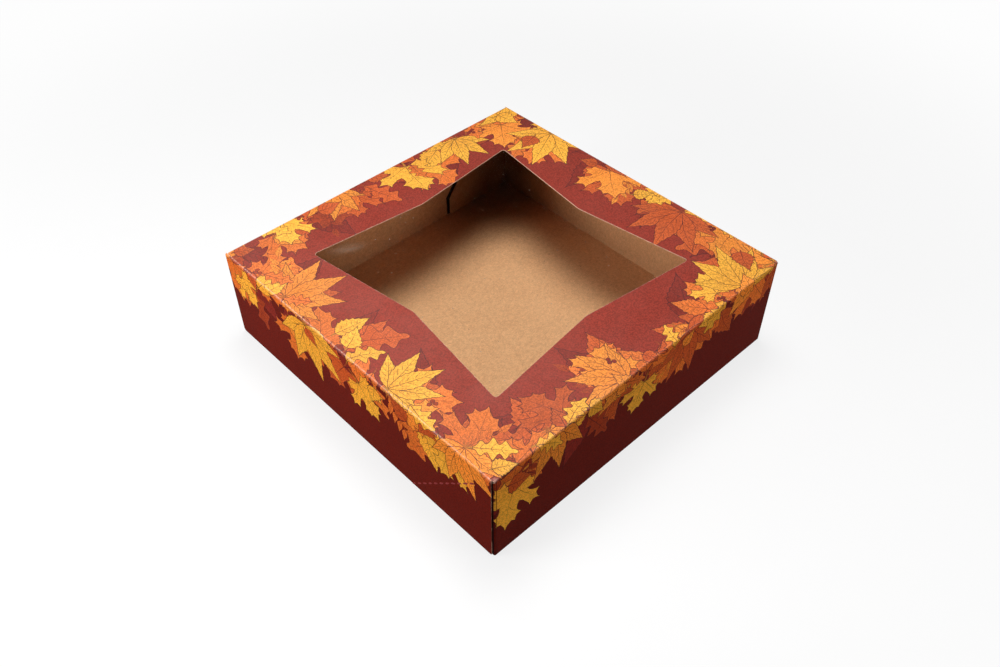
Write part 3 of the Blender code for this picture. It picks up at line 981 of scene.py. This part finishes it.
def make_film():
    """Clear glossy film: nearly all light goes through, a little is mirrored, and dust lies on it."""
    material, tree = new_material("clear_window_film")
    place = object_place(tree)
    ripple = noise(place, 26.0, 2.0, 0.4)
    relief = put(tree, "ShaderNodeBump", {"Strength": 0.25, "Distance": 0.0006, "Height": ripple})
    values = {"Color": (1, 1, 1, 1), "Roughness": spread(ripple, 0.3, 0.7, 0.05, 0.12), "Normal": relief}
    gloss = put(tree, "ShaderNodeBsdfGlossy", values)
    clear = put(tree, "ShaderNodeBsdfTransparent", {"Color": (0.985, 0.983, 0.975, 1)})
    turned = put(tree, "ShaderNodeLayerWeight", {"Blend": 0.5, "Normal": relief})["Facing"]
    film = blended(turned**8.0, clear, gloss)
    dust = put(tree, "ShaderNodeTexVoronoi", {"Vector": place, "Scale": 170.0}, voronoi_dimensions="2D")
    chance = put(tree, "ShaderNodeSeparateColor", {0: dust["Color"]})
    dusty = (dust["Distance"] < 0.040) * (chance[0] > 0.70) * (chance[1] ** 3.0 * 0.50)

    # A faint pale haze by the back left corner is a painted reflection
    spot = {"Location": (-0.059, 0.0685, 0.0625), "Rotation": (0.0, 0.0, -0.4), "Scale": (0.015, 0.006, 1.0)}
    reflection_place = put(tree, "ShaderNodeMapping", {"Vector": place, **spot}, vector_type="TEXTURE")
    streaks = spread(noise(reflection_place, 1.4, 3.0, 0.6), 0.30, 0.70, 0.3, 1.0)
    painted_reflection = spread(vector_calc("LENGTH", reflection_place), 0.0, 1.0, 0.055, 0.0) * streaks
    dust_and_reflection = put(tree, "ShaderNodeBsdfDiffuse", {"Color": (0.75, 0.68, 0.58, 1), "Roughness": 0.8})
    finish(blended(calc("MAXIMUM", dusty, painted_reflection), film, dust_and_reflection))
    return material


# Pieces


def mirrored(corners):
    """Corners of (x, y, radius) on the other side of the middle, in the opposite order."""
    return [(-x, y, radius) for x, y, radius in reversed(corners)]


def cover_outline():
    """The cover's blank: top, side skirts, and front skirt with its two glue flaps."""
    side, front, flap = COVER_SIDE_FOLD, COVER_FRONT_FOLD, COVER_FLAP_FOLD
    flap_top = front - FOLD_LENGTH - FLAP_GAP
    flap_end = flap + COVER_FLAP_LENGTH + FOLD_LENGTH - FOLD_RADIUS
    low = front - SKIRT_LENGTH
    slant_start = flap + FOLD_LENGTH + FOLD_RADIUS
    slant_from = flap_top - COVER_FLAP_SHOULDER - (slant_start - flap - FOLD_LENGTH)
    slant_end = front - FOLD_LENGTH + FOLD_RADIUS - (COVER_FLAP_LENGTH + COVER_FLAP_MARGIN)
    right = [
        (flap - 0.6, low, 0.0),
        (flap + FOLD_LENGTH, low, 0.0),
        (flap_end, low, CORNER_RADIUS),
        (flap_end, slant_end, CORNER_RADIUS),
        (slant_start, slant_from, 0.0),
        (slant_start, flap_top, 0.0),
        (flap, flap_top, 0.0),
        (FRONT_FOLD_END, front - FOLD_LENGTH - 0.1, 0.0),
        (FRONT_FOLD_END, front - 0.05, 0.0),
        (side, front - 0.05, 0.0),
        (side + 0.45, SKIRT_FRONT_END, 0.0),
        (side + SKIRT_LENGTH, SKIRT_FRONT_END, CORNER_RADIUS / 2),
        (side + SKIRT_LENGTH, SKIRT_BACK_END, CORNER_RADIUS),
        (side, SKIRT_BACK_END, 0.0),
        (side, CREASE_START, 0.0),
    ]
    return rounded(right + mirrored(right))


def window_outline():
    corner, waist = WINDOW_CORNER_RADIUS, WINDOW_WAIST_RADIUS
    corners = [
        (-WINDOW_SIDE, WINDOW_FRONT, corner),
        (0.0, WAIST_FRONT, waist),
        (WINDOW_SIDE, WINDOW_FRONT, corner),
        (WAIST_SIDE, 0.0, waist),
        (WINDOW_SIDE, WINDOW_BACK, corner),
        (0.0, WAIST_BACK, waist),
        (-WINDOW_SIDE, WINDOW_BACK, corner),
        (-WAIST_SIDE, 0.0, waist),
    ]
    return rounded(corners, steps=6)


def cover_creases():
    """The cover's creases in the order they are folded."""
    side, front, flap = COVER_SIDE_FOLD, COVER_FRONT_FOLD, COVER_FLAP_FOLD
    below_top = front - FOLD_LENGTH - 0.15
    creases = []
    for name, way in SIDES:
        at = (way * flap, front)
        run = (front - SKIRT_LENGTH - 1.0, below_top)
        turns = lambda x, y, way=way: way * x > flap - TINY and y < below_top
        creases.append(Crease(f"{name}_flap", at, (way, 0.0), run, turns, beside=SEAM_SHADE_LINE))
    # Each skirt fold's ridge is worn and carries a painted highlight, strongest on the left, weaker on the
    # right and weakest on the front
    for (name, way), wear in zip(SIDES, (1.0, 0.7)):
        at, run = (way * side, 0.0), (SKIRT_FRONT_END - 0.2, SKIRT_BACK_END + 1.0)
        turns = lambda x, y, way=way: way * x > side - TINY and y > below_top
        creases.append(Crease(f"{name}_skirt", at, (way, 0.0), run, turns, wear))

    def turns_front(x, y):
        return y < front + TINY and not (abs(x) > side - 0.02 and y > below_top)

    run = (-FRONT_FOLD_END - 0.02, FRONT_FOLD_END + 0.02)
    creases.append(Crease("front_skirt", (0.0, front), (0.0, -1.0), run, turns_front, 0.20))
    return creases


def tray_outline():
    """The tray's blank: base, plain front and back walls, side walls with a gusset and flap at each end."""
    side = TRAY_SIDE_FOLD
    back = TRAY_BACK - FOLD_RADIUS
    flap = TRAY_MIDDLE + TRAY_FLAP_FOLD
    flap_low = side + FOLD_LENGTH + 0.05
    flap_high = side + WALL_LENGTH - FLAP_GAP
    shoulder = side + FOLD_LENGTH - FOLD_RADIUS + TRAY_FLAP_SHOULDER
    extra = FOLD_LENGTH - FOLD_RADIUS
    quarter = [
        (side + WALL_LENGTH, flap - 0.4, 0.0),
        (flap_high, flap, 0.0),
        (flap_high, flap + TRAY_FLAP_TOP_LENGTH + extra, CORNER_RADIUS),
        (shoulder, flap + TRAY_FLAP_LENGTH + extra, CORNER_RADIUS),
        (flap_low, flap + TRAY_FLAP_LENGTH + extra, CORNER_RADIUS),
        (flap_low, flap, 0.0),
        (side + FOLD_LENGTH, flap, 0.0),
        (side + FOLD_LENGTH, flap + FOLD_TAB, 0.0),
        (side + 0.02, flap + FOLD_TAB, 0.0),
        (TRAY_SIDE - 0.05, back, 0.0),
        (TRAY_SIDE - 0.05, back + FOLD_LENGTH, 0.0),
        (TRAY_SIDE, back + FOLD_LENGTH + FOLD_RADIUS, 0.0),
        (TRAY_SIDE, back + WALL_LENGTH, 0.0),
    ]
    half = quarter + mirrored(quarter)
    return rounded(half + [(-x, 2 * TRAY_MIDDLE - y, radius) for x, y, radius in half])


def tray_creases():
    """The tray's creases in the order they are folded."""
    side = TRAY_SIDE_FOLD
    beyond_side = side + FOLD_LENGTH + 0.02

    def turns_flap(way, end, fold):
        return lambda x, y: end * (y - fold) > -TINY and way * x > beyond_side

    def turns_side(way):
        reach = TRAY_FLAP_FOLD + FOLD_TAB + TINY
        beyond = lambda x, y: abs(y - TRAY_MIDDLE) < reach or way * x > beyond_side
        return lambda x, y: way * x > side - TINY and beyond(x, y)

    def turns_end(end, fold):
        return lambda x, y: end * (y - fold) > -TINY and abs(x) < TRAY_SIDE + TINY

    creases = []
    for end_name, end in ENDS:
        fold = TRAY_MIDDLE + end * TRAY_FLAP_FOLD
        for name, way in SIDES:
            at, run = (way * side, fold), (beyond_side, side + WALL_LENGTH + 1.0)
            run = tuple(sorted(way * x for x in run))
            turns = turns_flap(way, end, fold)
            creases.append(Crease(f"{end_name}_{name}_flap", at, (0.0, end), run, turns))
    run = (TRAY_MIDDLE - TRAY_FLAP_FOLD - FOLD_TAB, TRAY_MIDDLE + TRAY_FLAP_FOLD + FOLD_TAB)
    for name, way in SIDES:
        at = (way * side, TRAY_MIDDLE)
        creases.append(Crease(f"{name}_wall", at, (way, 0.0), run, turns_side(way)))
    for (name, end), fold in zip(ENDS, (TRAY_FRONT + FOLD_RADIUS, TRAY_BACK - FOLD_RADIUS)):
        turns = turns_end(end, fold)
        creases.append(Crease(f"{name}_wall", (0.0, fold), (0.0, end), (-TRAY_SIDE, TRAY_SIDE), turns, 0.3))
    return creases


def make_board(name, outlines, creases, shapes, outward, lift, finishes, paints_corner_light=False):
    """A folded board as a finished piece, raised to its height."""
    mesh = blank_mesh(f"{name}_blank", outlines, creases, shapes, outward, paints_corner_light)
    tree, sizes = make_blank_tree(f"fold_up_{name}", creases, outward, finishes)
    piece = evaluated_piece(name, mesh, tree, sizes)
    piece.data.transform(Matrix.Translation((0.0, 0.0, lift * MM)))
    lay_normals(piece.data)
    return piece


def lift_flap_ends(mesh):
    """The flaps' slanted free ends stand a little off the walls that they are glued to."""
    for name, way, lift in (
        ("back_right", -1, 1.7),
        ("back_left", -1, 0.9),
        ("front_right", 1, 1.2),
        ("front_left", 1, 1.0),
    ):
        turned = mesh.attributes[f"turns_{name}_flap"].data
        for vertex in mesh.vertices:
            if turned[vertex.index].value:
                height = vertex.co.z / MM
                above = max(0.0, (height - TRAY_FLAP_SHOULDER) / (RIM_HEIGHT - TRAY_FLAP_SHOULDER))
                length = TRAY_FLAP_LENGTH + (TRAY_FLAP_TOP_LENGTH - TRAY_FLAP_LENGTH) * min(1.0, above)
                reach = min(1.0, max(0.0, (TRAY_SIDE_FOLD * MM - abs(vertex.co.x)) / (length * MM)))
                vertex.co.y += way * lift * MM * reach**3 * (1.0 - 0.5 * above)


def make_hinge_crease(shapes, finishes):
    """The strip of board over the back wall's top edge, which bends as the cover opens."""
    low, high = (-COVER_FLAP_FOLD, CREASE_START), (COVER_FLAP_FOLD, CREASE_END)
    strip = [low, (high[0], low[1]), high, (low[0], high[1])]
    run = (low[0] - 1.0, high[0] + 1.0)
    crease = Crease("hinge", (0.0, CREASE_START), (0.0, 1.0), run, lambda x, y: True, 0.5)
    return make_board("hinge_crease", [strip], [crease], near(shapes, low, high), 1, TOP_HEIGHT, finishes)


def make_perforation_tree(material):
    """Short ridges at an even pitch along a crease, each a little unlike the next."""
    inputs = [("Crease", "Geometry", None), ("Seed", "Int", RIDGE_SEED)]
    inputs += [(title, "Float", size * MM) for title, size in RIDGE_SIZES.items()]
    tree, given, sizes = new_geometry_tree("perforate_crease", inputs, "Ridges")

    def between(low, high, seed):
        values = {"Min": low, "Max": high, "Seed": seed}
        return put(tree, "FunctionNodeRandomValue", values, data_type="FLOAT")[1]

    def vector(*parts):
        return put(tree, "ShaderNodeCombineXYZ", dict(enumerate(parts)))

    def align(values, axis, pivot):
        return put(tree, "FunctionNodeAlignRotationToVector", values, axis=axis, pivot_axis=pivot)

    crease = put(tree, "GeometryNodeMeshToCurve", {0: given["Crease"]})
    spots = put(tree, "GeometryNodeCurveToPoints", {0: crease, "Length": given["Pitch"]}, mode="LENGTH")
    shape = put(tree, "GeometryNodeMeshUVSphere", {"Segments": 12, "Rings": 6, "Radius": 0.5})
    size = vector(given["Length"] * between(0.8, 1.1, given["Seed"]), given["Width"], given["Relief"])
    wobble = put(tree, "FunctionNodeEulerToRotation", {0: vector(between(-0.05, 0.05, given["Seed"] + 1.0))})
    outward = vector(calc("SIGN", parts_of(put(tree, "GeometryNodeInputPosition"))[0]))
    along = align({"Vector": spots["Tangent"]}, "X", "AUTO")
    along = align({"Rotation": along, "Vector": outward}, "Z", "X")
    turned = put(tree, "FunctionNodeRotateRotation", {0: along, 1: wobble}, rotation_space="GLOBAL")
    values = {"Points": spots, "Instance": shape, "Rotation": turned, "Scale": size}
    ridges = put(tree, "GeometryNodeRealizeInstances", {0: put(tree, "GeometryNodeInstanceOnPoints", values)})
    ridges = put(tree, "GeometryNodeSetShadeSmooth", {"Geometry": ridges, "Shade Smooth": True})
    ridges = put(tree, "GeometryNodeSetMaterial", {"Geometry": ridges, "Material": material})
    put(tree, "NodeGroupOutput", {0: ridges})
    return tree, sizes


def make_perforations(material):
    """The slanted crease of each side skirt, from near the top's front corner down to the skirt's edge."""
    places = []
    for _, way in SIDES:
        for y, z in (SLANT_HEAD, SLANT_FOOT):
            places.append((way * (COVER_SIDE - RIDGE_SINK) * MM, y * MM, z * MM))
    mesh = bpy.data.meshes.new("crease_line")
    mesh.from_pydata(places, [(0, 1), (2, 3)], [])
    return evaluated_piece("perforated_creases", mesh, *make_perforation_tree(material))


def make_film_sheet(material):
    """The film: glued round its margin, a little slack and wavy across the window."""
    rng = random.Random(FILM_SEED)
    waves = [(rng.uniform(0.02, 0.075), rng.uniform(0, math.tau), rng.uniform(0, math.tau)) for _ in range(6)]

    def height(x, y):
        inside = min(1.0, max(0.0, (FILM_REACH_X - FILM_GLUED - max(abs(x), abs(y))) / FILM_EASE))
        ease = inside * inside * (3 - 2 * inside)
        wave = sum(math.sin(f * (x * math.cos(a) + y * math.sin(a)) + p) for f, a, p in waves) / len(waves)
        return TOP_HEIGHT - BOARD - 0.01 - ease * (FILM_SAG * 0.5 + FILM_WAVE * wave)

    places, faces = [], []
    row = FILM_CELLS + 1
    below = row * row
    for layer in (0.0, FILM_THICKNESS):
        for i in range(row):
            for j in range(row):
                x, y = FILM_REACH_X * (2 * i / FILM_CELLS - 1), FILM_REACH_Y * (2 * j / FILM_CELLS - 1)
                places.append((x * MM, y * MM, (height(x, y) - layer) * MM))
    for i in range(FILM_CELLS):
        for j in range(FILM_CELLS):
            a = i * row + j
            faces.append((a, a + row, a + row + 1, a + 1))
            faces.append((below + a + 1, below + a + row + 1, below + a + row, below + a))
    ring = [j for j in range(row)] + [i * row + FILM_CELLS for i in range(1, row)]
    ring += [FILM_CELLS * row + j for j in reversed(range(FILM_CELLS))]
    ring += [i * row for i in reversed(range(1, FILM_CELLS))]
    for a, b in pairs(ring):
        faces.append((a, b, below + b, below + a))
    mesh = bpy.data.meshes.new("window_film_sheet")
    mesh.from_pydata(places, [], faces)
    mesh.polygons.foreach_set("use_smooth", [True] * len(mesh.polygons))
    mesh.materials.append(material)
    return add_object("window_film_sheet", mesh)


# Studio


def is_seen(tree):
    """1 where the camera sees the studio, straight, in a mirror or through the film."""
    ray = put(tree, "ShaderNodeLightPath")
    passed_on = calc("MAXIMUM", ray["Is Glossy Ray"], ray["Is Transmission Ray"])
    return calc("MAXIMUM", ray["Is Camera Ray"], passed_on)


def make_studio():
    """A pale floor that shows the box's shadow, a soft box overhead, two weaker lights, and the camera."""
    mesh = bpy.data.meshes.new("floor")
    mesh.from_pydata([(-4, -4, 0), (4, -4, 0), (4, 4, 0), (-4, 4, 0)], [], [(0, 1, 2, 3)])
    floor = add_object("floor", mesh)
    material, tree = new_material("studio_floor")
    place = object_place(tree)
    grain = mix(noise(place, 60.0), (0.86, 0.86, 0.86), (0.90, 0.90, 0.90))
    pale = put(tree, "ShaderNodeBsdfDiffuse", {"Color": grain})
    white = put(tree, "ShaderNodeEmission", {"Color": (1, 1, 1, 1), "Strength": 1.0})
    lifted = blended(spread(vector_calc("LENGTH", place), 0.16, 0.60, 0.80, 0.98), pale, white)
    dull = put(tree, "ShaderNodeBsdfDiffuse", {"Color": (0.16, 0.16, 0.16, 1)})
    finish(blended(is_seen(tree), dull, lifted))
    mesh.materials.append(material)

    world = bpy.data.worlds.new("studio")
    bpy.context.scene.world = world
    world.use_nodes = True
    tree = world.node_tree
    tree.nodes.clear()
    strength = put(tree, "ShaderNodeMapRange", {"Value": is_seen(tree), "To Min": 0.03, "To Max": 1.0})
    background = put(tree, "ShaderNodeBackground", {"Color": (1, 1, 1, 1), "Strength": strength})
    put(tree, "ShaderNodeOutputWorld", {"Surface": background})

    for name, place, target, size, beam, power in (
        ("soft_box", (0.06, 0.09, 0.68), (-0.12, -0.06, 0.06), 0.38, 100, 1.68),
        ("left_panel", (-0.62, 0.26, 0.24), (-0.05, 0.0, 0.04), 0.36, 180, 4.0),
        ("front_fill", (0.36, -0.90, 0.28), (0.0, 0.0, 0.03), 0.50, 180, 3.5),
    ):
        light = bpy.data.lights.new(name, "AREA")
        light.shape = "SQUARE"
        light.size = size
        light.spread = math.radians(beam)
        light.energy = power
        lamp = add_object(name, light)
        lamp.location = place
        lamp.rotation_euler = (Vector(target) - Vector(place)).to_track_quat("-Z", "Y").to_euler()

    camera = bpy.data.cameras.new("photo_camera")
    camera.sensor_fit = "HORIZONTAL"
    camera.sensor_width = 36.0
    camera.lens = 35.3
    camera.clip_start = 0.01
    view = add_object("photo_camera", camera)
    view.location = (-0.30012, -0.31441, 0.43683)
    view.rotation_euler = [math.radians(angle) for angle in (44.8982, 0.0568, -43.6593)]
    bpy.context.scene.camera = view
    bpy.context.scene.view_settings.view_transform = "Standard"


make_studio()

printed = make_print()
kraft = make_kraft()
raw_edge = make_raw_edge()
ridge = make_crease_ridge()
film = make_film()
CREASE_GROUP = make_crease_group()
finishes = (printed, kraft, raw_edge)

border = draw_leaf_border()
cover_blank = [cover_outline(), window_outline()]
cover_print = near(border, (-400.0, -400.0), (400.0, CREASE_START))
cover = make_board("cover_board", cover_blank, cover_creases(), cover_print, 1, TOP_HEIGHT, finishes, True)
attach(cover, "lid")
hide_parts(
    "lid_panel",
    "lid_front_skirt",
    "lid_left_skirt",
    "lid_right_skirt",
    "lid_gusset_left",
    "lid_gusset_right",
    "lid_flap_left",
    "lid_flap_right",
)

tray_finishes = (printed, kraft, kraft)
tray_print = on_back_wall(border)
tray = make_board("tray_board", [tray_outline()], tray_creases(), tray_print, -1, 0.0, tray_finishes)
lift_flap_ends(tray.data)
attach(tray, "tray")
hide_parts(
    "base_panel",
    "front_wall",
    "back_wall",
    "left_wall",
    "right_wall",
    *[
        f"tray_{kind}_{end}_{side}"
        for kind in ("gusset", "flap")
        for end in ("front", "back")
        for side in ("left", "right")
    ],
)

hinge = make_hinge_crease(border, finishes)
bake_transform(hinge)

ridges = make_perforations(ridge)
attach(ridges, "lid")

sheet = make_film_sheet(film)
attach(sheet, "lid")
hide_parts("window_film")
